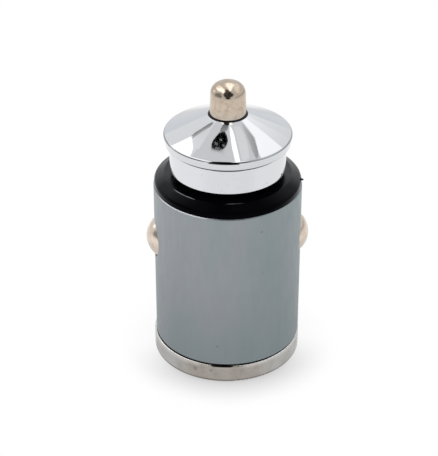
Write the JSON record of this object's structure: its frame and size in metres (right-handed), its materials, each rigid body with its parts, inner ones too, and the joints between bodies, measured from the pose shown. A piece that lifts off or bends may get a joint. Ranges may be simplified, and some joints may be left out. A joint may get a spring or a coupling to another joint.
{
  "type": "car usb charger plug",
  "caption": "Small metal car charger for a lighter socket: grey barrel, nickel ring with the charging ports, black collar, chrome cap, sprung centre pin and sprung side contacts.",
  "frame": {"origin": "centre of the face end, on the surface that the charger stands on", "axes": "+Z along the plug from the port end to the centre contact; the side contacts lie along X; the ports lie one each side of the XZ plane and open towards -Z"},
  "size_m": [0.023, 0.021, 0.0424],
  "materials": {
    "anodised_grey": "satin grey-blue anodising",
    "nickel_ring": "nickel plate, slightly stained",
    "black_plastic": "black moulded plastic, half matt",
    "chrome_cap": "bright chrome plate",
    "contact_nickel": "nickel plated brass, warm tone",
    "spring_steel": "drawn spring wire",
    "terminal_brass": "bare stamped brass",
    "shell_steel": "tinned sheet steel",
    "white_plastic": "white moulded plastic",
    "board_laminate": "green solder mask",
    "ferrite": "dark sintered ferrite",
    "capacitor_can": "drawn aluminium can",
    "chip_black": "black moulding compound",
    "chip_ceramic": "fired ceramic chips"
  },
  "bodies": {
    "housing": {"barrel": "anodised_grey", "face_ring": "nickel_ring", "face_plate": "black_plastic", "nose_housing": "black_plastic", "tip_cap": "chrome_cap", "tip_bush": "black_plastic", "centre_spring": "spring_steel", "centre_terminal": "terminal_brass", "contact_spring_left": "spring_steel", "contact_spring_right": "spring_steel", "contact_terminal_left": "terminal_brass", "contact_terminal_right": "terminal_brass", "port_shell_front": "shell_steel", "port_shell_back": "shell_steel", "port_tongue_front": "white_plastic", "port_tongue_back": "white_plastic", "port_contacts_front": "terminal_brass", "port_contacts_back": "terminal_brass", "circuit_board": "board_laminate", "inductor": "ferrite", "capacitor": "capacitor_can", "controller_chip": "chip_black", "charge_chip": "chip_black", "diode": "chip_black", "chip_parts": "chip_ceramic"},
    "centre_pin": {"centre_pin": "contact_nickel"},
    "side_contact_left": {"side_contact_left": "contact_nickel"},
    "side_contact_right": {"side_contact_right": "contact_nickel"}
  },
  "joints": [
    {"name": "centre_pin_press", "type": "slide", "parent": "housing", "child": "centre_pin", "axis": [0, 0, -1], "range_m": [0, 0.0028], "stiffness_N_per_m": 1500, "springref_m": -0.002, "deforming": ["centre_spring"]},
    {"name": "side_contact_left_press", "type": "slide", "parent": "housing", "child": "side_contact_left", "axis": [1, 0, 0], "range_m": [0, 0.0011], "stiffness_N_per_m": 1500, "springref_m": -0.0008, "deforming": ["contact_spring_left"]},
    {"name": "side_contact_right_press", "type": "slide", "parent": "housing", "child": "side_contact_right", "axis": [-1, 0, 0], "range_m": [0, 0.0011], "stiffness_N_per_m": 1500, "springref_m": -0.0008, "deforming": ["contact_spring_right"]}
  ]
}
